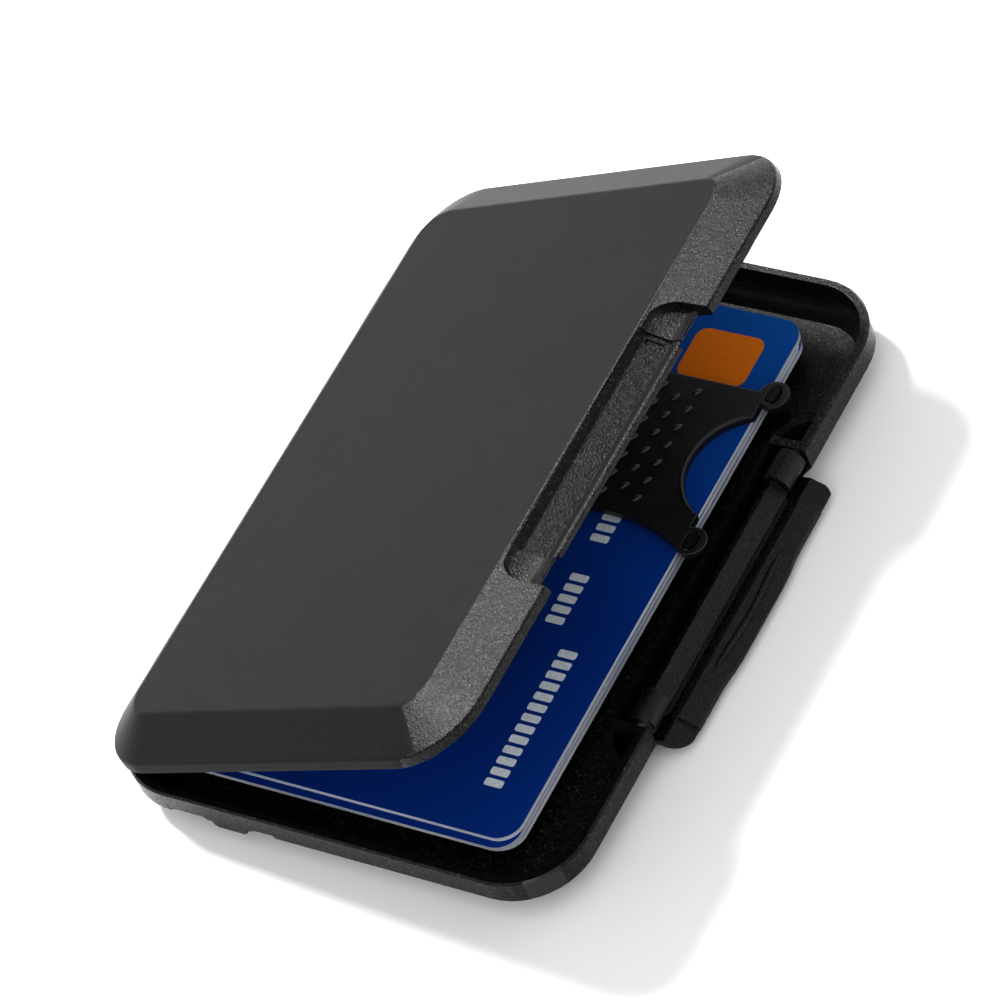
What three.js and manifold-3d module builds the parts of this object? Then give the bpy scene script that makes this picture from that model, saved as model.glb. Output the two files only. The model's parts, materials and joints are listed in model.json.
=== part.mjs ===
// Hard-shell card wallet: a moulded tray and a chamfered lid on a pinned hinge along one long side,
// a snap lever on the other, and a rubber strap that holds a few bank cards in the tray.
// Millimetres, +Z up, +Y along the length, +X from the hinge side to the lever side.
// The origin is the centre of the tray's flat underside.

import * as THREE from 'three';
import { mergeVertices } from 'three/addons/utils/BufferGeometryUtils.js';
import Module from 'manifold-3d';

const wasm = await Module();
wasm.setup();

// ---------- driving dimensions ----------

const CASE_WIDTH = 69.2;
const TRAY_LENGTH = 99.6;
const LID_LENGTH = 99.6;
const CORNER_R = 10;
const ARC_STEPS = 12;

const RIM_Z = 7.4;
const PARTING_GAP = 0.1;
const WALL = 1.2;
const FLOOR_Z = 1.2;
const TRAY_BAND_Z = 3.8;
const TRAY_CHAMFER_IN = 3.2;
const TRAY_SLOPE_TOP_Z = 4.0;
const TRAY_FLOOR_IN = 3.1;

const LID_BAND_Z = 9.05;
const LID_DRAFT = 0.4;
const LID_TOP_Z = 11.65;
const LID_TOP_CORNER_R = 4.2;
const LID_IN_LATCH = 7.6;
const LID_IN_HINGE = 4.6;
const LID_IN_ENDS = 6.7;
const LID_ROOF = 1.15;

const HINGE_X = -34.6;
const HINGE_Z = 7.2;
const HINGE_R = 1.2;
const HINGE_PIN_R = 0.5;
const HINGE_BORE_R = 0.58;
const HINGE_CENTRES = [-29, 29];
const LID_KNUCKLE_LENGTH = 8;
const TRAY_KNUCKLE_LENGTH = 6;
const KNUCKLE_GAP = 0.4;
const SWING_CLEARANCE = 0.35;
const LID_OPEN_DEG = 22.15;

const PIVOT_X = 32.55;
const PIVOT_Z = 5.9;
const PIVOT_R = 1.95;
const LATCH_PIN_R = 0.8;
const LATCH_BORE_R = 0.9;
const LEVER_HALF = 21.6;
const LEVER_BODY_HALF = 17.3;
const KNUCKLE_END = 22.0;
const GRIP_HALF = 8;
const GRIP_BLEND = 4;
const GRIP_OUT = 0.5;
const LEVER_NEAR_R = 3;
const LEVER_FAR_R = 1.2;
const LEVER_OPEN_DEG = 172;

const POCKET_HALF = 22.6;
const POCKET_END_WALL = 1.3;
const POCKET_BORE_DEPTH = 0.95;
const LATCH_PIN_END = 23.4;
const HOUSING_TOP_Z = 6.9;
const RECESS_HALF = 22.6;
const RECESS_CORNER_R = 4;
const LAND_HALF = 17.67;

const CARD_W = 53.98;
const CARD_L = 85.6;
const CARD_R = 3.18;
const CARD_T = 0.76;
const CARD_PITCH = 0.82;
const CARD_X = -2.5;
const CARD_TOP_Z = 6.0;
const CARD_SHIFTS = [0.1, -0.85, -0.25];

const STRAP_Z = 6.1;
const STRAP_T = 1.1;
const STRAP_X = -2.35;
const STRAP_Y = 17.85;
const POST_DX = 28.55;
const POST_DY = 12.25;
const LOBE_R = 2.2;
const STRAP_NOTCH_X = 31.25;
const STRAP_NOTCH_R = 9;

const HALF_W = CASE_WIDTH / 2;
const FAR = 60;
const TOOL_TOP_Z = 14;

const RAIL_X = [28.75, 29.5];
const ROOT_SINK = 0.5;
const RELIEF_FLOOR_Z = 3.2;
const RIM_BREAK = 0.3;
const WEB_DROP = 2.2;
const WEB_DEPTH = 0.7;
const POCKET_WALL_X = 29.2;
const POCKET_FLOOR_Z = FLOOR_Z + 0.05;

const BED_RIB = 1.4;
const BED_GAP = 0.06;
const BED_HALF_Y = 37;
const BED_X0 = -26;
const BED_X1 = 20;
const BED_LONG_RIBS = [-26, -10.5, 4.1, 18.6];
const BED_CROSS_RIBS = [-37, -0.7, 35.6];

const NUB_X = [-7.0, 12.6];
const NUB_WIDTH = 0.9;
const NUB_Y = [-47.6, -45.9];
const NUB_TOP_Z = 2.9;

const BLOCK_MARGIN = 1.3;
const BLOCK_X = 26;
const RECESS_X = 27.2;
const UNDERSIDE_MARGIN = 0.4;
const LEVER_TIP_X = 28.1;
const LEVER_SKIRT_X = 45;
const LATCH_PIN_START = 18.5;
const LATCH_BORE_START = 18.2;
const LATCH_BORE_END = 24;

// ---------- solids ----------

function toSolid(geometry) {
  const bare = new THREE.BufferGeometry();
  bare.setAttribute('position', geometry.getAttribute('position').clone());
  if (geometry.index) bare.setIndex(geometry.index.clone());
  const merged = mergeVertices(bare, 1e-4);
  const mesh = new wasm.Mesh({
    numProp: 3,
    vertProperties: new Float32Array(merged.getAttribute('position').array),
    triVerts: new Uint32Array(merged.index.array),
  });
  return new wasm.Manifold(mesh);
}

function toGeometry(solid) {
  const mesh = solid.getMesh();
  const geometry = new THREE.BufferGeometry();
  geometry.setAttribute('position', new THREE.BufferAttribute(new Float32Array(mesh.vertProperties), 3));
  geometry.setIndex(new THREE.BufferAttribute(new Uint32Array(mesh.triVerts), 1));
  geometry.computeVertexNormals();
  return geometry;
}

function box(x0, x1, y0, y1, z0, z1) {
  const geometry = new THREE.BoxGeometry(x1 - x0, y1 - y0, z1 - z0);
  geometry.translate((x0 + x1) / 2, (y0 + y1) / 2, (z0 + z1) / 2);
  return toSolid(geometry);
}

// A closed XY shape, extruded from z0 to z1.
function plate(shape, z0, z1, steps = ARC_STEPS) {
  const options = { depth: z1 - z0, bevelEnabled: false, curveSegments: steps };
  const geometry = new THREE.ExtrudeGeometry(shape, options);
  geometry.translate(0, 0, z0);
  return toSolid(geometry);
}

function outline(points) {
  return new THREE.Shape(points.map(([x, y]) => new THREE.Vector2(x, y)));
}

// A closed XZ profile, extruded along Y from y0 to y1.
function bar(points, y0, y1) {
  const shape = outline(points);
  const geometry = new THREE.ExtrudeGeometry(shape, { depth: y1 - y0, bevelEnabled: false });
  geometry.rotateX(Math.PI / 2);
  geometry.translate(0, y1, 0);
  return toSolid(geometry);
}

// A cylinder along Y.
function rod(x, z, radius, y0, y1, sides = 28) {
  const geometry = new THREE.CylinderGeometry(radius, radius, y1 - y0, sides);
  geometry.translate(x, (y0 + y1) / 2, z);
  return toSolid(geometry);
}

// A cylinder along Z.
function post(x, y, radius, z0, z1, sides = 28) {
  const geometry = new THREE.CylinderGeometry(radius, radius, z1 - z0, sides);
  geometry.rotateX(Math.PI / 2);
  geometry.translate(x, y, (z0 + z1) / 2);
  return toSolid(geometry);
}

function roundRect(x0, x1, y0, y1, r) {
  const shape = new THREE.Shape();
  shape.moveTo(x0 + r, y0);
  shape.lineTo(x1 - r, y0);
  shape.absarc(x1 - r, y0 + r, r, -Math.PI / 2, 0, false);
  shape.lineTo(x1, y1 - r);
  shape.absarc(x1 - r, y1 - r, r, 0, Math.PI / 2, false);
  shape.lineTo(x0 + r, y1);
  shape.absarc(x0 + r, y1 - r, r, Math.PI / 2, Math.PI, false);
  shape.lineTo(x0, y0 + r);
  shape.absarc(x0 + r, y0 + r, r, Math.PI, 1.5 * Math.PI, false);
  return shape;
}

// One level of a moulded shell: a rectangle with round corners at height z.
function level(z, x0, x1, y0, y1, r) {
  return { z, x0, x1, y0, y1, r };
}

function levelPoints({ z, x0, x1, y0, y1, r }) {
  const corners = [
    [x1 - r, y1 - r, 0],
    [x0 + r, y1 - r, Math.PI / 2],
    [x0 + r, y0 + r, Math.PI],
    [x1 - r, y0 + r, 1.5 * Math.PI],
  ];
  const points = [];
  for (const [cx, cy, start] of corners) {
    for (let i = 0; i <= ARC_STEPS; i += 1) {
      const angle = start + (i / ARC_STEPS) * (Math.PI / 2);
      points.push([cx + r * Math.cos(angle), cy + r * Math.sin(angle), z]);
    }
  }
  return points;
}

// A solid skinned through levels from the lowest to the highest.
function loft(levels) {
  const rings = levels.map(levelPoints);
  const count = rings[0].length;
  const positions = rings.flat(2);
  const indices = [];
  for (let k = 0; k + 1 < rings.length; k += 1) {
    for (let i = 0; i < count; i += 1) {
      const a = k * count + i;
      const b = k * count + ((i + 1) % count);
      indices.push(a, b, b + count, a, b + count, a + count);
    }
  }
  const top = (rings.length - 1) * count;
  for (let i = 1; i + 1 < count; i += 1) {
    indices.push(0, i + 1, i);
    indices.push(top, top + i, top + i + 1);
  }
  const geometry = new THREE.BufferGeometry();
  geometry.setAttribute('position', new THREE.Float32BufferAttribute(positions, 3));
  geometry.setIndex(indices);
  return toSolid(geometry);
}

// The tray's plan outline, drawn in by a distance.
function trayLevel(z, inset) {
  const r = Math.max(CORNER_R - inset, 1);
  const half = TRAY_LENGTH / 2;
  return level(z, -HALF_W + inset, HALF_W - inset, -half + inset, half - inset, r);
}

// ---------- hinge ----------

function hingeSpans(length, offset) {
  return HINGE_CENTRES.map((centre) => [centre + offset - length / 2, centre + offset + length / 2]);
}

const lidKnuckles = hingeSpans(LID_KNUCKLE_LENGTH, 0);
const trayOffset = (LID_KNUCKLE_LENGTH + TRAY_KNUCKLE_LENGTH) / 2 + KNUCKLE_GAP;
const trayKnuckles = [
  ...hingeSpans(TRAY_KNUCKLE_LENGTH, -trayOffset),
  ...hingeSpans(TRAY_KNUCKLE_LENGTH, trayOffset),
];

function notch([y0, y1]) {
  return rod(HINGE_X, HINGE_Z, HINGE_R + SWING_CLEARANCE, y0 - KNUCKLE_GAP, y1 + KNUCKLE_GAP);
}

// ---------- tray ----------

// The rail beside the cards, and at each end of the latch pocket a block with a three-sided relief.
function trayHousing() {
  const root = FLOOR_Z - ROOT_SINK;
  let housing = box(...RAIL_X, -POCKET_HALF, POCKET_HALF, root, HOUSING_TOP_Z);
  const block = [[28.75, 22.6], [34.3, 22.6], [34.3, 29.4], [32.7, 28.7], [30.4, 27.0], [29.1, 24.9]];
  const relief = [[29.9, 23.9], [33.5, 23.9], [33.5, 28.0], [32.4, 27.2], [31.0, 26.0]];
  for (const side of [-1, 1]) {
    const mirrored = (points) => {
      const placed = points.map(([x, y]) => [x, side * y]);
      return outline(side > 0 ? placed : placed.reverse());
    };
    housing = housing.add(plate(mirrored(block), root, HOUSING_TOP_Z));
    housing = housing.subtract(plate(mirrored(relief), RELIEF_FLOOR_Z, HOUSING_TOP_Z + 1));
  }
  return housing;
}

// The grid of ribs under the cards.
function trayBed() {
  const root = FLOOR_Z - ROOT_SINK;
  const top = CARD_TOP_Z - CARD_T - 2 * CARD_PITCH - BED_GAP;
  const along = BED_LONG_RIBS.map((x) => box(x, x + BED_RIB, -BED_HALF_Y, BED_HALF_Y, root, top));
  const across = BED_CROSS_RIBS.map((y) => box(BED_X0, BED_X1, y, y + BED_RIB, root, top));
  return [...along, ...across].reduce((bed, rib) => bed.add(rib));
}

// Two finger-width scallops in the underside's near edge, with a bar between them for a cord.
const EYE_SCALLOPS = [[-24.5, -18.5], [-12.0, -7.8]];
const EYE_BAR = [-17.9, -12.6];
const EYE_LIP_Z = 4.5;
const EYE_TUNNEL_TOP_Z = 2.1;
const EYE_TUNNEL_Y = [-48.3, -46.4];
const EYE_BOSS_MARGIN = 1.6;
const EYE_BAR_THICKNESS = 1.5;

function lanyardBoss() {
  const x0 = EYE_SCALLOPS[0][0] - EYE_BOSS_MARGIN;
  const x1 = EYE_SCALLOPS[1][1] + EYE_BOSS_MARGIN;
  return box(x0, x1, -49.2, -45.0, 0.6, 3.3);
}

function lanyardCut() {
  const [near, inner] = EYE_TUNNEL_Y;
  let cut = box(EYE_SCALLOPS[0][1] - 1, EYE_SCALLOPS[1][0] + 1, near, inner, -1, EYE_TUNNEL_TOP_Z);
  const lipEnd = -TRAY_LENGTH / 2 + 0.7;
  for (const [x0, x1] of EYE_SCALLOPS) {
    cut = cut.add(box(x0 + 0.6, x1 - 0.6, -FAR, inner, -1, EYE_TUNNEL_TOP_Z));
    const lip = [
      [x0 + 1.4, EYE_LIP_Z], [x0 + 0.5, 4.2], [x0, 3.6], [x0, 1],
      [x1, 1], [x1, 3.6], [x1 - 0.5, 4.2], [x1 - 1.4, EYE_LIP_Z],
    ];
    cut = cut.add(bar(lip, lipEnd - 12, lipEnd));
  }
  return cut;
}

function lanyardBar() {
  const [x0, x1] = EYE_BAR;
  const face = [[x0, 4.6], [x0, 3.2], [x0 + 0.6, 2.7], [x1 - 0.6, 2.7], [x1, 3.2], [x1, 4.6]];
  return bar(face, -TRAY_LENGTH / 2, -TRAY_LENGTH / 2 + EYE_BAR_THICKNESS);
}

function makeTray() {
  const rim = RIM_Z - PARTING_GAP;
  const outer = loft([
    trayLevel(0, TRAY_CHAMFER_IN),
    trayLevel(TRAY_BAND_Z, 0),
    trayLevel(rim - RIM_BREAK, 0),
    trayLevel(rim, RIM_BREAK),
  ]);
  const inner = loft([
    trayLevel(FLOOR_Z, TRAY_FLOOR_IN),
    trayLevel(TRAY_SLOPE_TOP_Z, WALL),
    trayLevel(rim + 1, WALL),
  ]);
  let tray = outer.subtract(inner);
  tray = tray.add(trayHousing().add(trayBed()).add(lanyardBoss()).intersect(outer));
  for (const side of [-1, 1]) {
    const y0 = side > 0 ? POCKET_HALF : -POCKET_HALF - POCKET_END_WALL;
    const wall = box(POCKET_WALL_X, HALF_W - 0.1, y0, y0 + POCKET_END_WALL, FLOOR_Z - ROOT_SINK, rim);
    tray = tray.add(wall.intersect(outer));
  }
  for (const x of NUB_X) {
    tray = tray.add(box(x, x + NUB_WIDTH, ...NUB_Y, FLOOR_Z, NUB_TOP_Z));
  }
  tray = tray.subtract(box(RAIL_X[1], FAR, -POCKET_HALF, POCKET_HALF, POCKET_FLOOR_Z, FAR));
  for (const [y0, y1] of trayKnuckles) {
    tray = tray.add(rod(HINGE_X, HINGE_Z, HINGE_R, y0, y1));
    const web = [
      [HINGE_X - HINGE_R, HINGE_Z],
      [-HALF_W, HINGE_Z - WEB_DROP],
      [-HALF_W + WEB_DEPTH, HINGE_Z - WEB_DROP],
      [-HALF_W + WEB_DEPTH, HINGE_Z],
    ];
    tray = tray.add(bar(web, y0, y1));
    tray = tray.subtract(rod(HINGE_X, HINGE_Z, HINGE_BORE_R, y0 - 1, y1 + 1));
  }
  for (const span of lidKnuckles) tray = tray.subtract(notch(span));
  for (const side of [-1, 1]) {
    const ends = [side * (POCKET_HALF - 1), side * (POCKET_HALF + POCKET_BORE_DEPTH)];
    tray = tray.subtract(rod(PIVOT_X, PIVOT_Z, LATCH_BORE_R, Math.min(...ends), Math.max(...ends)));
  }
  return tray.subtract(lanyardCut()).add(lanyardBar());
}

// ---------- lid (drawn closed) ----------

function lidLevel(z, latch, hinge, ends, r) {
  const half = LID_LENGTH / 2;
  return level(z, -HALF_W + hinge, HALF_W - latch, -half + ends, half - ends, r);
}

function lidOuter() {
  const bottom = RIM_Z + PARTING_GAP;
  return loft([
    lidLevel(bottom, 0.25, 0.1, 0.25, CORNER_R - 0.25),
    lidLevel(bottom + 0.25, 0, 0, 0, CORNER_R),
    lidLevel(LID_BAND_Z, 0, 0, LID_DRAFT, CORNER_R - LID_DRAFT),
    lidLevel(LID_TOP_Z, LID_IN_LATCH, LID_IN_HINGE, LID_IN_ENDS, LID_TOP_CORNER_R),
  ]);
}

function lidInner() {
  const bottom = RIM_Z + PARTING_GAP - 1;
  const roof = LID_TOP_Z - LID_ROOF;
  return loft([
    lidLevel(bottom, WALL, WALL, WALL, CORNER_R - WALL),
    lidLevel(LID_BAND_Z - 0.85, WALL, WALL, WALL, CORNER_R - WALL),
    lidLevel(roof, LID_IN_LATCH + 0.4, LID_IN_HINGE + 0.6, LID_IN_ENDS + 0.4, LID_TOP_CORNER_R - 0.2),
  ]);
}

// A short slot across the recess's sloping land, near its far end.
const LAND_SLOT = [[28.2, 10.6], [30.3, 9.0], [29.9, 8.25], [27.8, 9.75]];

// The hollow that the lever folds into, cut from the outside.
function recessCut() {
  const middle = [
    [27.2, 13], [27.25, LID_TOP_Z - 0.1], [27.65, 10.2], [30.6, 8.1],
    [31.0, 8.4], [32.1, 8.4], [32.5, 8.1], [32.5, 6], [40, 6], [40, 13],
  ];
  const ends = [
    [27.5, 13], [27.55, LID_TOP_Z - 0.2], [28.0, 10.45], [30.7, 8.6],
    [32.3, 8.6], [32.5, 8.4], [32.5, 6], [40, 6], [40, 13],
  ];
  const plan = roundRect(RECESS_X, FAR, -RECESS_HALF, RECESS_HALF, RECESS_CORNER_R);
  const swept = bar(ends, -RECESS_HALF, RECESS_HALF).add(bar(middle, -LAND_HALF, LAND_HALF));
  return swept.intersect(plate(plan, 5, TOOL_TOP_Z));
}

// The space under the recess's land, open to the inside of the lid.
function recessUnderside() {
  const profile = [[25.6, 10.6], [26.6, 9.4], [29.4, 7.9], [29.4, 6], [20, 6], [20, 10.6]];
  const under = [[26.6, 9.4], [29.5, 7.4], [29.5, 6], [20, 6], [20, 9.4]];
  const half = RECESS_HALF - UNDERSIDE_MARGIN;
  return bar(profile, -half, half).intersect(bar(under, -FAR, FAR));
}

function makeLid() {
  const outer = lidOuter();
  let lid = outer.subtract(lidInner());
  const blockHalf = RECESS_HALF + BLOCK_MARGIN;
  const block = outer.intersect(box(BLOCK_X, FAR, -blockHalf, blockHalf, 0, FAR));
  lid = lid.add(block.subtract(recessUnderside()));
  lid = lid.subtract(recessCut());
  lid = lid.subtract(bar(LAND_SLOT, LAND_HALF - 1.4, LAND_HALF - 0.7));
  for (const side of [-1, 1]) {
    const y0 = side > 0 ? LEVER_BODY_HALF - 0.4 : -KNUCKLE_END - 0.6;
    const y1 = side > 0 ? KNUCKLE_END + 0.6 : -LEVER_BODY_HALF + 0.4;
    lid = lid.subtract(rod(PIVOT_X, PIVOT_Z, PIVOT_R + 0.35, y0, y1));
  }
  for (const [y0, y1] of lidKnuckles) {
    lid = lid.add(rod(HINGE_X, HINGE_Z, HINGE_R, y0, y1));
    const web = [
      [HINGE_X - HINGE_R * 0.7, HINGE_Z + HINGE_R * 0.7],
      [HINGE_X, HINGE_Z],
      [-HALF_W + 0.8, HINGE_Z],
      [-HALF_W + 0.8, LID_BAND_Z + 0.5],
    ];
    lid = lid.add(bar(web, y0, y1));
    lid = lid.subtract(rod(HINGE_X, HINGE_Z, HINGE_BORE_R, y0 - 1, y1 + 1));
  }
  for (const span of trayKnuckles) lid = lid.subtract(notch(span));
  return lid;
}

// ---------- lever (drawn closed) ----------

// The lever's plan view: a straight tip edge that swells into a finger grip at mid length.
function leverPlan() {
  const tip = LEVER_TIP_X;
  const grip = tip - GRIP_OUT;
  const shape = new THREE.Shape();
  shape.moveTo(LEVER_SKIRT_X, -KNUCKLE_END);
  shape.lineTo(LEVER_SKIRT_X, KNUCKLE_END);
  shape.lineTo(tip + LEVER_FAR_R, KNUCKLE_END);
  shape.absarc(tip + LEVER_FAR_R, LEVER_HALF - LEVER_FAR_R, LEVER_FAR_R, Math.PI / 2, Math.PI, false);
  shape.lineTo(tip, GRIP_HALF + GRIP_BLEND);
  shape.bezierCurveTo(tip, GRIP_HALF + 1, grip, GRIP_HALF + 1, grip, GRIP_HALF - GRIP_BLEND);
  shape.lineTo(grip, GRIP_BLEND - GRIP_HALF);
  shape.bezierCurveTo(grip, -GRIP_HALF - 1, tip, -GRIP_HALF - 1, tip, -GRIP_HALF - GRIP_BLEND);
  shape.lineTo(tip, -LEVER_HALF + LEVER_NEAR_R);
  shape.absarc(tip + LEVER_NEAR_R, -LEVER_HALF + LEVER_NEAR_R, LEVER_NEAR_R, Math.PI, 1.5 * Math.PI, false);
  shape.lineTo(tip + LEVER_NEAR_R, -KNUCKLE_END);
  shape.closePath();
  return shape;
}

function makeLever() {
  const body = [
    [34.6, 6.6], [34.6, 9.1], [28.3, 11.25], [27.6, 11.25], [27.5, 10.95], [28.2, 10.35],
    [30.4, 8.75], [30.75, 9.45], [32.2, 9.2], [33.2, 8.5], [33.4, 7.9], [33.0, 7.25],
    [31.9, 7.1], [31.2, 7.0], [32.05, 6.0], [32.9, 5.05], [33.9, 5.3],
  ];
  const end = [
    [34.5, PIVOT_Z], [34.6, 6.95], [34.6, 9.1], [28.3, 11.25], [28.05, 11.05], [28.3, 10.75],
    [30.8, 9.1], [32.9, 9.1], [32.95, 7.2], [32.55, PIVOT_Z],
  ];
  let lever = bar(body, -LEVER_BODY_HALF - 0.5, LEVER_BODY_HALF + 0.5);
  for (const side of [-1, 1]) {
    const inner = side * LEVER_BODY_HALF;
    const flange = [Math.min(inner, side * LEVER_HALF), Math.max(inner, side * LEVER_HALF)];
    const knuckle = [Math.min(inner, side * KNUCKLE_END), Math.max(inner, side * KNUCKLE_END)];
    lever = lever.add(bar(end, ...flange));
    lever = lever.add(rod(PIVOT_X, PIVOT_Z, PIVOT_R, ...knuckle));
    const bore = [side * LATCH_BORE_START, side * LATCH_BORE_END];
    const blind = [Math.min(...bore), Math.max(...bore)];
    lever = lever.subtract(rod(PIVOT_X, PIVOT_Z, LATCH_BORE_R, ...blind));
  }
  return lever.intersect(plate(leverPlan(), 0, TOOL_TOP_Z));
}

// ---------- strap, posts and cards ----------

function oval(x, y, halfX, halfY, z0, z1) {
  return plate(roundRect(x - halfX, x + halfX, y - halfY, y + halfY, halfX - 0.01), z0, z1, 6);
}

function makeStrap() {
  const shape = new THREE.Shape();
  shape.moveTo(-27.4, 12.35);
  shape.lineTo(-27.4, -13.9);
  shape.quadraticCurveTo(-22, -10.9, -15.5, -10.7);
  shape.lineTo(15.5, -10.7);
  shape.quadraticCurveTo(22, -10.9, 27.4, -13.9);
  shape.lineTo(27.4, 12.35);
  shape.closePath();
  let strap = plate(shape, STRAP_Z, STRAP_Z + STRAP_T);
  for (const side of [-1, 1]) {
    const notched = post(side * STRAP_NOTCH_X, 0, STRAP_NOTCH_R, STRAP_Z - 1, STRAP_Z + STRAP_T + 1, 48);
    strap = strap.subtract(notched);
    for (const end of [-1, 1]) {
      strap = strap.add(post(side * POST_DX, end * POST_DY, LOBE_R, STRAP_Z, STRAP_Z + STRAP_T));
    }
  }
  for (const side of [-1, 1]) {
    for (const end of [-1, 1]) {
      const eye = oval(side * POST_DX, end * POST_DY, 0.95, 1.5, STRAP_Z - 1, STRAP_Z + STRAP_T + 1);
      strap = strap.subtract(eye);
    }
  }
  return strap.translate([STRAP_X, STRAP_Y, 0]);
}

function makePost() {
  const root = oval(0, 0, 0.5, 1.2, FLOOR_Z + 0.04, 2.8);
  const foot = oval(0, 0, 0.72, 1.3, 2.6, STRAP_Z - 0.3);
  const neck = oval(0, 0, 0.6, 1.1, STRAP_Z - 0.5, STRAP_Z + STRAP_T);
  const head = oval(0, 0, 0.72, 1.25, STRAP_Z + STRAP_T - 0.3, STRAP_Z + STRAP_T + 0.2);
  return root.add(foot).add(neck).add(head);
}

function makeCard(index) {
  const top = CARD_TOP_Z - index * CARD_PITCH;
  const y = CARD_SHIFTS[index];
  const shape = roundRect(CARD_X - CARD_W / 2, CARD_X + CARD_W / 2, y - CARD_L / 2, y + CARD_L / 2, CARD_R);
  return plate(shape, top - CARD_T, top, 6);
}

// ---------- materials ----------

function finish(color, roughness, metalness) {
  return new THREE.MeshStandardMaterial({ color, roughness, metalness });
}

// ---------- assembly ----------

const wallet = new THREE.Group();

function addPiece(parent, name, solid, material) {
  const mesh = new THREE.Mesh(toGeometry(solid), material);
  mesh.name = name;
  parent.add(mesh);
  return mesh;
}

addPiece(wallet, 'tray_shell', makeTray(), finish(0x1c1c1e, 0.55, 0));

const lidGroup = new THREE.Group();
lidGroup.position.set(HINGE_X, 0, HINGE_Z);
lidGroup.rotation.y = -THREE.MathUtils.degToRad(LID_OPEN_DEG);
wallet.add(lidGroup);
addPiece(lidGroup, 'lid_shell', makeLid().translate([-HINGE_X, 0, -HINGE_Z]), finish(0x262528, 0.6, 0));

const leverGroup = new THREE.Group();
leverGroup.position.set(PIVOT_X, 0, PIVOT_Z);
leverGroup.rotation.y = THREE.MathUtils.degToRad(LEVER_OPEN_DEG);
wallet.add(leverGroup);
addPiece(leverGroup, 'latch_lever', makeLever().translate([-PIVOT_X, 0, -PIVOT_Z]), finish(0x202022, 0.6, 0));

const hingePinHalf = trayOffset + TRAY_KNUCKLE_LENGTH / 2 - 0.5;
for (const [index, label] of [[0, 'near'], [1, 'far']]) {
  const centre = HINGE_CENTRES[index];
  const pin = rod(HINGE_X, HINGE_Z, HINGE_PIN_R, centre - hingePinHalf, centre + hingePinHalf, 20);
  addPiece(wallet, `hinge_pin_${label}`, pin, finish(0x9a9a9c, 0.35, 1));
  const side = index * 2 - 1;
  const ends = [side * LATCH_PIN_START, side * LATCH_PIN_END];
  const latchPin = rod(PIVOT_X, PIVOT_Z, LATCH_PIN_R, Math.min(...ends), Math.max(...ends), 20);
  addPiece(wallet, `latch_pin_${label}`, latchPin, finish(0x9a9a9c, 0.35, 1));
}

addPiece(wallet, 'card_strap', makeStrap(), finish(0x141416, 0.7, 0));
for (const [side, across] of [[-1, 'hinge_side'], [1, 'latch_side']]) {
  for (const [end, along] of [[-1, 'near'], [1, 'far']]) {
    const piece = addPiece(wallet, `strap_post_${across}_${along}`, makePost(), finish(0x18181a, 0.4, 0));
    piece.position.set(STRAP_X + side * POST_DX, STRAP_Y + end * POST_DY, 0);
  }
}

for (let index = 0; index < CARD_SHIFTS.length; index += 1) {
  addPiece(wallet, `card_${index + 1}`, makeCard(index), finish(0x1f56b8, 0.3, 0));
}

export default wallet;
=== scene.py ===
"""Hard-shell card wallet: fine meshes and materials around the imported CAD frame. Blender 4.5, metres."""

import json
import math

import bmesh
import bpy
from mathutils import Matrix, Vector


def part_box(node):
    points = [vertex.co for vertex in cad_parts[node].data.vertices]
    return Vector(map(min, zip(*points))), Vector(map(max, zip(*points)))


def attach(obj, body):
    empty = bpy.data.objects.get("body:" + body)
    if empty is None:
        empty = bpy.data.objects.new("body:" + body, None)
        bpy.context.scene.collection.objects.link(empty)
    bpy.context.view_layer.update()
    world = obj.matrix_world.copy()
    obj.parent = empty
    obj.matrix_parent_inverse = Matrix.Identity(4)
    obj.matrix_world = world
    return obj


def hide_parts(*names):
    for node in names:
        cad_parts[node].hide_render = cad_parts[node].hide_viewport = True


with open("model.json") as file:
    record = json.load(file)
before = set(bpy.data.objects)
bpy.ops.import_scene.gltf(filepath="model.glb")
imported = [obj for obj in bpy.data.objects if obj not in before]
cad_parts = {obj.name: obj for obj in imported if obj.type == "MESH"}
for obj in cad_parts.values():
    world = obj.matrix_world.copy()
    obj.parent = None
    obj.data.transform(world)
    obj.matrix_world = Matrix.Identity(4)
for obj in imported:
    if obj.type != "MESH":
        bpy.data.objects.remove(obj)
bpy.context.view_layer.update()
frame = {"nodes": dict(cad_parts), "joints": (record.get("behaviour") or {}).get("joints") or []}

MM = 0.001
LID_OPEN = math.radians(22.15)
EDGE_RADIUS = 0.16 * MM
LID_EDGE_RADIUS = 0.28 * MM
LID_TOP = 11.65 * MM
LID_BAND = 9.05 * MM

WELD_DISTANCE = 2e-6
FLAT_ANGLE = math.radians(0.7)
TRAY_BEVEL = 0.00015
LEVER_BEVEL = 0.00018
STRAP_BEVEL = 0.0002
CARD_BEVEL = 0.00005
POST_BEVEL = 0.00012

JOINTS = {joint["name"]: joint for joint in frame["joints"]}
HINGE = Vector(JOINTS["lid_hinge"]["pos_m"])


# ---------- camera ----------

CAMERA_LENS = 212.8
CAMERA_SENSOR = 36
CAMERA_RIGHT = Vector((0.84032, 0.45314, -0.29754))
CAMERA_FORWARD = Vector((-0.50428, 0.45204, -0.73577))
CAMERA_PLACE = Vector((385.66, -342.98, 573.46)) * MM


def add_camera():
    data = bpy.data.cameras.new("camera")
    data.lens = CAMERA_LENS
    data.sensor_width = CAMERA_SENSOR
    camera = bpy.data.objects.new("camera", data)
    bpy.context.scene.collection.objects.link(camera)
    right, forward, place = CAMERA_RIGHT, CAMERA_FORWARD, CAMERA_PLACE
    up = right.cross(forward)
    camera.matrix_world = Matrix((
        (right.x, up.x, -forward.x, place.x),
        (right.y, up.y, -forward.y, place.y),
        (right.z, up.z, -forward.z, place.z),
        (0, 0, 0, 1),
    ))
    data.clip_start = 0.05
    data.clip_end = 20
    bpy.context.scene.camera = camera


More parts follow.
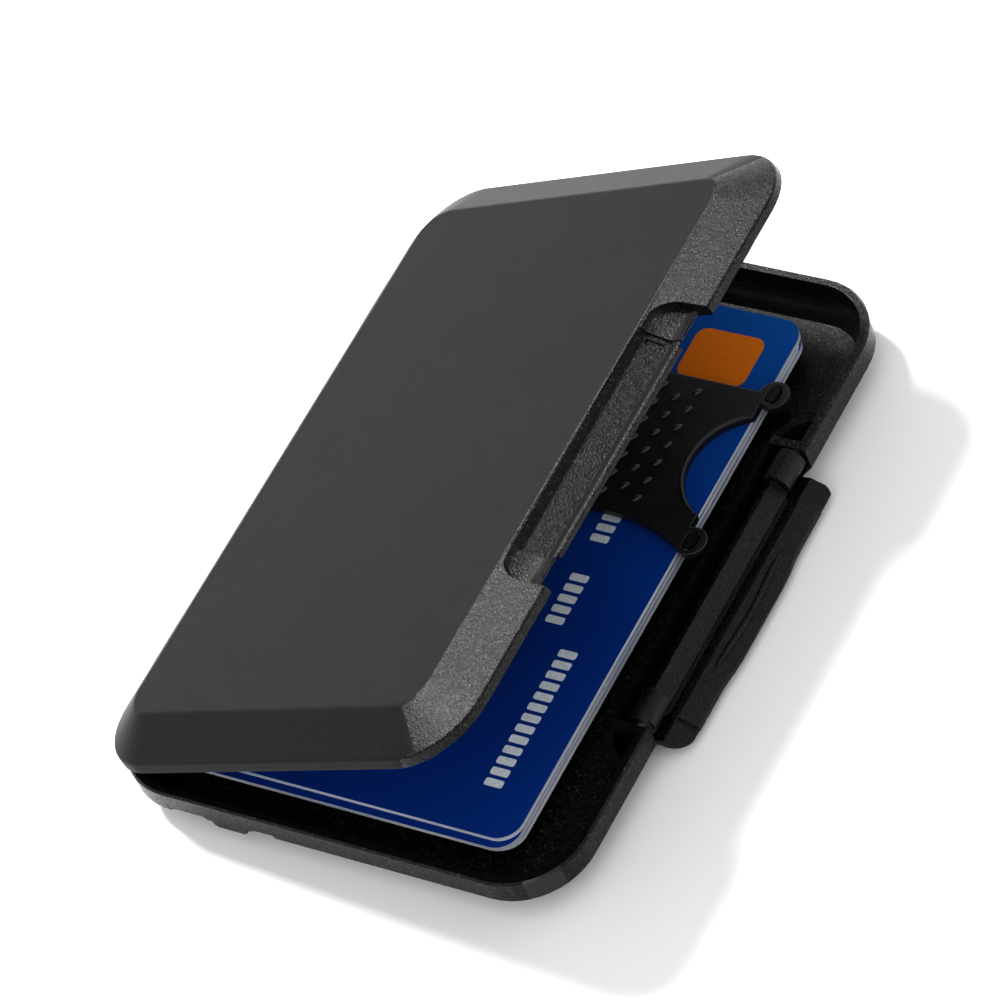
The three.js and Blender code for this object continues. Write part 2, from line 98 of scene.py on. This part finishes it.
# ---------- node helpers ----------

class Nodes:
    """A material's node tree, with short calls for the nodes used here."""

    def __init__(self, name):
        self.material = bpy.data.materials.new(name)
        self.material.use_nodes = True
        self.tree = self.material.node_tree
        self.shader = self.tree.nodes["Principled BSDF"]
        self.coords = self.add("ShaderNodeTexCoord").outputs["Object"]

    def add(self, kind, **settings):
        node = self.tree.nodes.new(kind)
        for key, value in settings.items():
            setattr(node, key, value)
        return node

    def link(self, source, target):
        self.tree.links.new(source, target)

    def set(self, **values):
        for key, value in values.items():
            self.shader.inputs[key.replace("_", " ")].default_value = value

    def noise(self, scale, detail=2.0, rough=0.5, stretch=(1, 1, 1)):
        mapping = self.add("ShaderNodeMapping")
        mapping.inputs["Scale"].default_value = stretch
        self.link(self.coords, mapping.inputs["Vector"])
        node = self.add("ShaderNodeTexNoise")
        node.inputs["Scale"].default_value = scale
        node.inputs["Detail"].default_value = detail
        node.inputs["Roughness"].default_value = rough
        self.link(mapping.outputs["Vector"], node.inputs["Vector"])
        return node.outputs["Fac"]

    def cells(self, scale):
        node = self.add("ShaderNodeTexVoronoi")
        node.inputs["Scale"].default_value = scale
        self.link(self.coords, node.inputs["Vector"])
        return node

    def spread(self, value, low, high, start=0.3, stop=0.7):
        node = self.add("ShaderNodeMapRange")
        node.inputs["From Min"].default_value = start
        node.inputs["From Max"].default_value = stop
        node.inputs["To Min"].default_value = low
        node.inputs["To Max"].default_value = high
        self.link(value, node.inputs["Value"])
        return node.outputs["Result"]

    def ramp(self, value, stops):
        node = self.add("ShaderNodeValToRGB")
        elements = node.color_ramp.elements
        while len(elements) < len(stops):
            elements.new(0.5)
        for element, (position, color) in zip(elements, stops):
            element.position = position
            element.color = (*color, 1)
        self.link(value, node.inputs["Fac"])
        return node.outputs["Color"]

    def bump(self, height, distance, strength=1.0, below=None):
        node = self.add("ShaderNodeBump")
        node.inputs["Strength"].default_value = strength
        node.inputs["Distance"].default_value = distance
        self.link(height, node.inputs["Height"])
        if below is not None:
            self.link(below, node.inputs["Normal"])
        return node.outputs["Normal"]

    def soft_edges(self, radius):
        """The normal with edges rounded to this radius."""
        bevel = self.add("ShaderNodeBevel", samples=6)
        bevel.inputs["Radius"].default_value = radius
        return bevel.outputs["Normal"]


def moulded(name, dark, light, roughness, grain, depth, specular):
    """Injection-moulded plastic with a fine even grain. grain is cells per metre."""
    nodes = Nodes(name)
    cloud = nodes.noise(90, 3.0)
    fleck = nodes.noise(grain, 2.0, 0.6)
    pits = nodes.cells(grain * 0.9).outputs["Distance"]
    mix = nodes.add("ShaderNodeMath", operation="MULTIPLY_ADD")
    nodes.link(fleck, mix.inputs[0])
    mix.inputs[1].default_value = 0.9
    nodes.link(nodes.spread(cloud, 0.0, 0.08), mix.inputs[2])
    nodes.link(nodes.ramp(mix.outputs["Value"], [(0.3, dark), (0.75, light)]),
               nodes.shader.inputs["Base Color"])
    nodes.link(nodes.spread(cloud, roughness - 0.004, roughness + 0.004), nodes.shader.inputs["Roughness"])
    fine = nodes.bump(fleck, depth, 1.0, nodes.soft_edges(EDGE_RADIUS))
    nodes.link(nodes.bump(pits, depth * 0.7, 0.7, fine), nodes.shader.inputs["Normal"])
    nodes.set(Specular_IOR_Level=specular)
    return nodes.material


def eroded(name, dark, light, roughness, cell, depth, specular, painted_glint):
    """Spark-eroded plastic: small facets, each with its own height and a random tone, under a fine noise;
    the top facets carry a painted glint in their base colour.
    """
    nodes = Nodes(name)
    facets = nodes.cells(cell)
    shade = nodes.add("ShaderNodeSeparateColor")
    nodes.link(facets.outputs["Color"], shade.inputs["Color"])
    fleck = nodes.noise(cell * 1.3, 3.0, 0.65)
    mix = nodes.add("ShaderNodeMath", operation="MULTIPLY_ADD")
    nodes.link(shade.outputs["Red"], mix.inputs[0])
    mix.inputs[1].default_value = 0.6
    nodes.link(nodes.spread(fleck, 0.0, 0.4), mix.inputs[2])
    # The top ramp stop is a painted glint: bright base colour on the top facets standing in for the key
    # light's sparkle.
    nodes.link(nodes.ramp(mix.outputs["Value"], [(0.45, dark), (0.78, light), (0.92, painted_glint)]),
               nodes.shader.inputs["Base Color"])
    nodes.link(nodes.spread(shade.outputs["Green"], roughness - 0.1, roughness + 0.12, 0.0, 1.0),
               nodes.shader.inputs["Roughness"])
    coarse = nodes.bump(fleck, depth, 1.0, nodes.soft_edges(EDGE_RADIUS))
    nodes.link(nodes.bump(facets.outputs["Distance"], depth * 0.6, 0.8, coarse),
               nodes.shader.inputs["Normal"])
    nodes.set(Specular_IOR_Level=specular)
    return nodes.material


def gloss_black(name, roughness=0.16):
    nodes = Nodes(name)
    cloud = nodes.noise(140, 4.0, 0.6)
    scuffs = nodes.noise(1300, 2.0, 0.5, (1, 0.12, 1))
    nodes.link(nodes.ramp(cloud, [(0.3, (0.002, 0.002, 0.0022)), (0.7, (0.004, 0.004, 0.0043))]),
               nodes.shader.inputs["Base Color"])
    nodes.link(nodes.spread(scuffs, roughness - 0.04, roughness + 0.1), nodes.shader.inputs["Roughness"])
    nodes.link(nodes.bump(scuffs, 0.000004, 0.6), nodes.shader.inputs["Normal"])
    nodes.set(Specular_IOR_Level=0.32)
    return nodes.material


def rubber():
    nodes = Nodes("strap_elastomer")
    dust = nodes.noise(2600, 3.0, 0.6)
    cloud = nodes.noise(180, 3.0)
    nodes.link(nodes.ramp(dust, [(0.35, (0.0035, 0.0035, 0.004)), (0.8, (0.008, 0.008, 0.0085))]),
               nodes.shader.inputs["Base Color"])
    nodes.link(nodes.spread(cloud, 0.30, 0.40), nodes.shader.inputs["Roughness"])
    soft = nodes.soft_edges(1.5 * EDGE_RADIUS)
    nodes.link(nodes.bump(dust, 0.000014, 1.0, soft), nodes.shader.inputs["Normal"])
    nodes.set(Specular_IOR_Level=0.5)
    return nodes.material


def ground_steel():
    nodes = Nodes("ground_steel")
    grain = nodes.noise(3000, 3.0, 0.6, (1, 0.04, 1))
    nodes.link(nodes.ramp(grain, [(0.3, (0.38, 0.38, 0.39)), (0.7, (0.56, 0.56, 0.57))]),
               nodes.shader.inputs["Base Color"])
    nodes.link(nodes.spread(grain, 0.24, 0.4), nodes.shader.inputs["Roughness"])
    nodes.link(nodes.bump(grain, 0.000006), nodes.shader.inputs["Normal"])
    nodes.set(Metallic=1.0)
    return nodes.material


def card_face():
    """Laminated blue print with soft streaks of lighter and darker blue, and a painted reflection of the
    key light: the colour brightens from deep blue at the near end to a brighter blue at the far end.
    """
    nodes = Nodes("card_face_blue")
    axes = nodes.add("ShaderNodeSeparateXYZ")
    nodes.link(nodes.coords, axes.inputs["Vector"])
    # Painted reflection: the base colour brightens towards the far end (+Y) in place of the key light's
    # reflection, which the very low specular below mostly leaves out.
    along = nodes.spread(axes.outputs["Y"], 0.1, 0.75, -0.01, 0.043)
    streaks = nodes.noise(60, 3.0, 0.5, (1, 0.1, 1))
    mix = nodes.add("ShaderNodeMath", operation="MULTIPLY_ADD")
    nodes.link(streaks, mix.inputs[0])
    mix.inputs[1].default_value = 0.3
    nodes.link(along, mix.inputs[2])
    nodes.link(nodes.ramp(mix.outputs["Value"], [
        (0.2, (0.0014, 0.019, 0.165)), (0.5, (0.0020, 0.032, 0.225)), (0.9, (0.0030, 0.056, 0.270)),
    ]), nodes.shader.inputs["Base Color"])
    film = nodes.noise(900, 2.0, 0.5)
    nodes.link(nodes.spread(film, 0.42, 0.52), nodes.shader.inputs["Roughness"])
    nodes.link(nodes.bump(film, 0.000003), nodes.shader.inputs["Normal"])
    nodes.set(Specular_IOR_Level=0.008)
    return nodes.material


def card_edge():
    """Cut edge of a laminated card: white core between thin clear skins."""
    nodes = Nodes("card_edge_white")
    layers = nodes.noise(2200, 2.0, 0.4, (0.02, 0.02, 1))
    nodes.link(nodes.ramp(layers, [(0.35, (0.42, 0.47, 0.6)), (0.6, (0.82, 0.84, 0.88))]),
               nodes.shader.inputs["Base Color"])
    nodes.link(nodes.spread(nodes.noise(4000), 0.35, 0.5), nodes.shader.inputs["Roughness"])
    return nodes.material


def ink(name, low, high, roughness, metallic=0.0):
    nodes = Nodes(name)
    grain = nodes.noise(2400, 3.0, 0.6)
    nodes.link(nodes.ramp(grain, [(0.3, low), (0.7, high)]), nodes.shader.inputs["Base Color"])
    nodes.link(nodes.spread(grain, roughness - 0.05, roughness + 0.08), nodes.shader.inputs["Roughness"])
    nodes.link(nodes.bump(grain, 0.000005), nodes.shader.inputs["Normal"])
    nodes.set(Metallic=metallic, Specular_IOR_Level=0.04)
    return nodes.material


LEATHER_GRAIN = moulded("lid_fine_grain",
                        (0.0045, 0.0043, 0.0044), (0.0088, 0.0084, 0.0086), 0.33, 4200, 0.000032, 0.03)
SMOOTH = moulded("shell_smooth_matt",
                 (0.0022, 0.0022, 0.0024), (0.0060, 0.0060, 0.0064), 0.40, 4300, 0.00004, 0.035)
# The last colour of SPARK and SPARK_FINE is a painted glint: bright base colour on the top facets standing
# in for the key light's sparkle.
SPARK = eroded("shell_spark_texture",
               (0.0012, 0.0012, 0.0014), (0.007, 0.007, 0.0076), 0.29, 3300, 0.00008, 0.11,
               (0.045, 0.045, 0.047))
SPARK_FINE = eroded("lever_spark_texture",
                    (0.0008, 0.0008, 0.0010), (0.005, 0.005, 0.0055), 0.30, 4600, 0.00006, 0.16,
                    (0.026, 0.026, 0.028))
GLOSS = gloss_black("inner_gloss_black")
POST = gloss_black("post_satin_black", 0.26)
RUBBER = rubber()
STEEL = ground_steel()
CARD_FACE = card_face()
CARD_EDGE = card_edge()
SILVER_INK = ink("silver_ink", (0.56, 0.62, 0.7), (0.78, 0.84, 0.92), 0.35, 0.1)
ORANGE_INK = ink("orange_ink", (0.52, 0.11, 0.0015), (0.62, 0.14, 0.003), 0.5)


# ---------- mesh helpers ----------

def smooth_shading(bm, limit=38):
    for face in bm.faces:
        face.smooth = True
    for edge in bm.edges:
        edge.smooth = len(edge.link_faces) == 2 and edge.calc_face_angle(0) < math.radians(limit)


def finish_piece(name, bm, body, materials, zone=None, replaced=()):
    """Makes an object from bm, gives each face the material zone(face) picks, and puts it on its body."""
    mesh = bpy.data.meshes.new(name)
    bm.normal_update()
    for face in bm.faces:
        face.material_index = materials.index(zone(face)) if zone else 0
    smooth_shading(bm)
    bm.to_mesh(mesh)
    bm.free()
    for material in materials:
        mesh.materials.append(material)
    piece = bpy.data.objects.new(name, mesh)
    bpy.context.scene.collection.objects.link(piece)
    normals = piece.modifiers.new("face_weighted_normals", "WEIGHTED_NORMAL")
    normals.keep_sharp = True
    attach(piece, body)
    if replaced:
        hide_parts(*replaced)
    return piece


def node_mesh(node):
    """A welded copy of a CAD node's mesh, with its flat faces joined up."""
    bm = bmesh.new()
    bm.from_mesh(frame["nodes"][node].data)
    bmesh.ops.remove_doubles(bm, verts=bm.verts, dist=WELD_DISTANCE)
    bmesh.ops.dissolve_limit(bm, angle_limit=FLAT_ANGLE, verts=bm.verts, edges=bm.edges)
    return bm


def round_edges(bm, width, angle=26, segments=2, pick=None):
    """Rounds the sharp edges, or only the picked ones, which are known to have room.

    Without pick, the width is cut back to suit the piece's tightest edge. Cards keep all of theirs and the
    strap about half. On the tray, lever and posts it leaves strips a few micrometres wide, so their edges
    are rounded in shading only, by the Bevel node of the textured materials; the gloss materials of the
    posts and of the tray's glossy faces have no Bevel node.
    """
    sharp = []
    for edge in bm.edges:
        if len(edge.link_faces) != 2 or edge.calc_face_angle(0) < math.radians(angle):
            continue
        if pick is None or pick(edge):
            sharp.append(edge)
    bmesh.ops.bevel(bm, geom=sharp, offset=width, segments=segments, profile=0.6,
                    affect="EDGES", clamp_overlap=pick is None)
    bmesh.ops.dissolve_degenerate(bm, dist=WELD_DISTANCE, edges=bm.edges)


# ---------- lid ----------

FLAT_TOP_NORMAL = 0.995
INSIDE_NORMAL = -0.2
KNUCKLE_DROP = 0.0004
LATCH_SIDE_X = 0.0262
LATCH_SIDE_NORMAL = 0.12


def shut_direction(vector):
    """A rest-pose direction on the lid, as it is with the case shut."""
    return Matrix.Rotation(LID_OPEN, 3, "Y") @ vector


def shut_place(vector):
    """A rest-pose place on the lid, as it is with the case shut."""
    return shut_direction(vector - HINGE) + HINGE


def lid_zone(face):
    normal = shut_direction(face.normal)
    place = shut_place(face.calc_center_median())
    if normal.z > FLAT_TOP_NORMAL:
        return LEATHER_GRAIN
    if normal.z < INSIDE_NORMAL or place.z < HINGE.z - KNUCKLE_DROP:
        return GLOSS
    if place.x > LATCH_SIDE_X and normal.x > LATCH_SIDE_NORMAL:
        return SPARK
    return SMOOTH


def on_lid_ring(edge):
    """True on the long bends round the lid: the flat top's outline and the top of the outer band."""
    heights = [shut_place(vert.co).z for vert in edge.verts]
    level = sum(heights) / 2
    flat = abs(heights[0] - heights[1]) < 0.02 * MM
    return flat and min(abs(level - LID_TOP), abs(level - LID_BAND)) < 0.03 * MM


def add_lid():
    bm = node_mesh("lid_shell")
    round_edges(bm, LID_EDGE_RADIUS, 9, 3, on_lid_ring)
    materials = [LEATHER_GRAIN, SMOOTH, SPARK, GLOSS]
    finish_piece("lid_moulding", bm, "lid", materials, lid_zone, ["lid_shell"])


# ---------- tray ----------

INNER_HALF_X = 0.0334
INNER_HALF_Y = 0.0486
FLOOR_TOP = 0.0011
LEVEL_NORMAL = 0.85
POCKET_X = 0.028
NEAR_END_Y = -0.036


def tray_zone(face):
    """Glossy on the inner walls, in the latch pocket and at the near end; textured elsewhere."""
    place = face.calc_center_median()
    inside = abs(place.x) < INNER_HALF_X and abs(place.y) < INNER_HALF_Y and place.z > FLOOR_TOP
    glossy = abs(face.normal.z) < LEVEL_NORMAL or place.x > POCKET_X or place.y < NEAR_END_Y
    return GLOSS if inside and glossy else SPARK


def add_tray():
    bm = node_mesh("tray_shell")
    round_edges(bm, TRAY_BEVEL, 30)
    finish_piece("tray_moulding", bm, "tray", [SPARK, GLOSS], tray_zone, ["tray_shell"])


# ---------- lever ----------

GRIP_START = Vector((35.07, 0, 3.38)) * MM
GRIP_END = Vector((37.48, 0, 2.1)) * MM
GRIP_HALF = 10.5 * MM
GRIP_SWELL = 0.5 * MM
GRIP_WIDTH = 1.0 * MM
GRIP_HEIGHT = 0.5 * MM


def swept(bm, centres, across, up, width, height, steps=6):
    """A half-round rib along centres, closed underneath and at its ends."""
    rings = []
    for index, centre in enumerate(centres):
        from_start = 4 * (index + 0.4) / len(centres)
        from_end = 4 * (len(centres) - index - 0.6) / len(centres)
        taper = math.sin(math.pi * min(1, from_start, from_end) / 2)
        side = across[index] if isinstance(across, list) else across
        ring = []
        for step in range(steps + 1):
            turn = math.pi * step / steps
            outward = side * width / 2 * math.cos(turn) * taper
            upward = up * height * math.sin(turn) * taper
            ring.append(bm.verts.new(centre + outward + upward))
        rings.append(ring)
    count = steps + 1
    for low, high in zip(rings, rings[1:]):
        for step in range(count):
            after = (step + 1) % count
            bm.faces.new((low[step], low[after], high[after], high[step]))
    bm.faces.new(reversed(rings[0]))
    bm.faces.new(rings[-1])
    bmesh.ops.recalc_face_normals(bm, faces=bm.faces)


def add_lever():
    bm = node_mesh("latch_lever")
    round_edges(bm, LEVER_BEVEL, 24)
    finish_piece("lever_moulding", bm, "lever", [SPARK_FINE], None, ["latch_lever"])
    outward = (GRIP_END - GRIP_START).normalized()
    up = Vector((-outward.z, 0, outward.x))
    middle = GRIP_START.lerp(GRIP_END, 0.5) - up * 0.02 * MM
    centres = []
    for step in range(33):
        along = (step / 16 - 1) * GRIP_HALF
        wave = (1 + math.cos(math.pi * along / GRIP_HALF)) / 2
        centres.append(middle + outward * (wave - 0.4) * GRIP_SWELL + Vector((0, along, 0)))
    rib = bmesh.new()
    swept(rib, centres, outward, up, GRIP_WIDTH, GRIP_HEIGHT)
    finish_piece("lever_grip_rib", rib, "lever", [SPARK_FINE])


# ---------- strap ----------

RIB_LENGTH = 1.6 * MM
RIB_WIDTH = 0.8 * MM
RIB_HEIGHT = 0.42 * MM
RIB_TURN = math.radians(-38)
RIB_PITCH_X = 2.6 * MM
RIB_PITCH_Y = 3.0 * MM
RIB_STEPS = 10


def dome(bm, centre, length, width, height, lean):
    """A low oval bump sitting on the plane z = centre.z, closed underneath."""
    rings = []
    for level in range(4):
        tilt = level / 4 * math.pi / 2
        scale = math.cos(tilt)
        ring = []
        for step in range(RIB_STEPS):
            turn = step / RIB_STEPS * 2 * math.pi
            dx = width / 2 * math.cos(turn) * scale
            dy = length / 2 * math.sin(turn) * scale
            offset = Vector((dx, dy, 0))
            offset.rotate(Matrix.Rotation(lean, 3, "Z"))
            ring.append(bm.verts.new(centre + offset + Vector((0, 0, height * math.sin(tilt)))))
        rings.append(ring)
    top = bm.verts.new(centre + Vector((0, 0, height)))
    for low, high in zip(rings, rings[1:]):
        for step in range(RIB_STEPS):
            after = (step + 1) % RIB_STEPS
            bm.faces.new((low[step], low[after], high[after], high[step]))
    for step in range(RIB_STEPS):
        bm.faces.new((rings[-1][step], rings[-1][(step + 1) % RIB_STEPS], top))
    bm.faces.new(reversed(rings[0]))


RIM_RADIUS = 9.3 * MM
RIM_FROM_MIDDLE = 31.25 * MM
RIM_ARC = math.radians(66)


def add_strap_rims(low, high):
    """A thin raised lip along each round cut-out of the strap."""
    for side, label in ((-1, "hinge_side"), (1, "latch_side")):
        centre_x = (low.x + high.x) / 2 + side * RIM_FROM_MIDDLE
        centre = Vector((centre_x, (low.y + high.y) / 2, high.z - 0.03 * MM))
        centres = []
        spokes = []
        for step in range(41):
            turn = (math.pi if side > 0 else 0) + (step / 20 - 1) * RIM_ARC
            spoke = Vector((math.cos(turn), math.sin(turn), 0))
            spokes.append(spoke)
            centres.append(centre + spoke * RIM_RADIUS)
        rim = bmesh.new()
        swept(rim, centres, spokes, Vector((0, 0, 1)), 0.5 * MM, 0.26 * MM)
        finish_piece(f"strap_rim_{label}", rim, "tray", [RUBBER])


def add_strap():
    bm = node_mesh("card_strap")
    round_edges(bm, STRAP_BEVEL, 40)
    finish_piece("strap_band", bm, "tray", [RUBBER], None, ["card_strap"])
    low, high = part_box("card_strap")
    middle = (low.x + high.x) / 2
    add_strap_rims(low, high)
    ribs = bmesh.new()
    columns = int((high.x - low.x) / 2 / RIB_PITCH_X) - 4
    for column in range(-columns, columns + 1):
        offset = (column + columns) % 2
        rows = 7 - offset
        start = high.y - 4.4 * MM - offset * RIB_PITCH_Y / 2
        for row in range(rows):
            place = Vector((middle + column * RIB_PITCH_X, start - row * RIB_PITCH_Y, high.z - 0.02 * MM))
            dome(ribs, place, RIB_LENGTH, RIB_WIDTH, RIB_HEIGHT, RIB_TURN)
    bmesh.ops.recalc_face_normals(ribs, faces=ribs.faces)
    finish_piece("strap_grip_ribs", ribs, "tray", [RUBBER])


# ---------- cards ----------

def card_zone(face):
    return CARD_FACE if abs(face.normal.z) > 0.7 else CARD_EDGE


def add_cards():
    for index, body in ((1, "top_card"), (2, "tray"), (3, "tray")):
        bm = node_mesh(f"card_{index}")
        round_edges(bm, CARD_BEVEL, 60, 1)
        materials = [CARD_FACE, CARD_EDGE]
        finish_piece(f"bank_card_{index}", bm, body, materials, card_zone, [f"card_{index}"])


def tile(bm, x0, x1, y0, y1, z, radius, height=0.03 * MM, steps=5):
    """A thin plate with round corners."""
    outline = []
    corners = (
        (x1 - radius, y1 - radius), (x0 + radius, y1 - radius),
        (x0 + radius, y0 + radius), (x1 - radius, y0 + radius),
    )
    for quarter, (cx, cy) in enumerate(corners):
        for step in range(steps + 1):
            turn = (quarter + step / steps) * math.pi / 2
            outline.append((cx + radius * math.cos(turn), cy + radius * math.sin(turn)))
    lower = [bm.verts.new((x, y, z)) for x, y in outline]
    upper = [bm.verts.new((x, y, z + height)) for x, y in outline]
    bm.faces.new(reversed(lower))
    bm.faces.new(upper)
    for step in range(len(outline)):
        after = (step + 1) % len(outline)
        bm.faces.new((lower[step], lower[after], upper[after], upper[step]))


def add_card_print():
    """Plain silver blocks and one plain orange panel, standing for a card's generic print."""
    low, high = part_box("card_1")
    top = high.z + 0.01 * MM
    blocks = bmesh.new()
    pitch = 1.72 * MM
    for line_x, line_y, count in ((5.3, 7.0, 13), (9.6, 32.2, 5), (9.9, 45.6, 3)):
        x1 = high.x - line_x * MM
        for index in range(count):
            y0 = low.y + line_y * MM + index * pitch
            tile(blocks, x1 - 2.7 * MM, x1, y0, y0 + 1.15 * MM, top, 0.3 * MM)
    finish_piece("card_print_blocks", blocks, "top_card", [SILVER_INK])
    panel = bmesh.new()
    tile(panel, high.x - 14.2 * MM, high.x - 3.9 * MM, high.y - 12.2 * MM, high.y - 3.9 * MM, top, 1.6 * MM)
    finish_piece("card_print_panel", panel, "top_card", [ORANGE_INK])


# ---------- carried-over CAD nodes ----------

def paint_nodes():
    for name, node in frame["nodes"].items():
        if "pin" in name:
            node.data.materials.clear()
            node.data.materials.append(STEEL)


def add_posts():
    for name in list(frame["nodes"]):
        if name.startswith("strap_post"):
            bm = node_mesh(name)
            round_edges(bm, POST_BEVEL, 40)
            moulding = name.replace("strap_post", "post_moulding")
            finish_piece(moulding, bm, "tray", [POST], None, [name])


# ---------- studio ----------

FLOOR_HALF = 8
FLOOR_DROP = 0.00006
WORLD_STRENGTH = 0.95


def area_light(name, direction, distance, size, power, target=Vector((0, 0, 0.01))):
    data = bpy.data.lights.new(name, "AREA")
    data.shape = "DISK"
    data.size = size
    data.energy = power
    light = bpy.data.objects.new(name, data)
    bpy.context.scene.collection.objects.link(light)
    light.location = target + Vector(direction).normalized() * distance
    light.rotation_euler = (target - light.location).to_track_quat("-Z", "Y").to_euler()


def add_studio():
    bm = bmesh.new()
    bmesh.ops.create_grid(bm, x_segments=2, y_segments=2, size=FLOOR_HALF)
    mesh = bpy.data.meshes.new("floor")
    bm.to_mesh(mesh)
    bm.free()
    nodes = Nodes("studio_paper")
    paper = nodes.noise(20, 2.0)
    nodes.link(nodes.ramp(paper, [(0.3, (0.90, 0.90, 0.905)), (0.7, (0.92, 0.92, 0.925))]),
               nodes.shader.inputs["Base Color"])
    nodes.set(Roughness=0.9, Specular_IOR_Level=0.1)
    mesh.materials.append(nodes.material)
    floor = bpy.data.objects.new("floor", mesh)
    floor.location.z = -FLOOR_DROP
    bpy.context.scene.collection.objects.link(floor)
    world = bpy.data.worlds.new("studio")
    bpy.context.scene.world = world
    world.use_nodes = True
    world.node_tree.nodes["Background"].inputs["Color"].default_value = (1, 1, 1, 1)
    world.node_tree.nodes["Background"].inputs["Strength"].default_value = WORLD_STRENGTH
    area_light("key", (-0.62, 0.22, 0.85), 0.9, 0.22, 22)
    area_light("fill", (0.2, -0.9, 0.7), 1.2, 0.8, 2)
    bpy.context.scene.view_settings.view_transform = "Standard"


add_camera()
add_studio()
add_tray()
add_lid()
add_lever()
add_strap()
add_posts()
add_cards()
add_card_print()
paint_nodes()
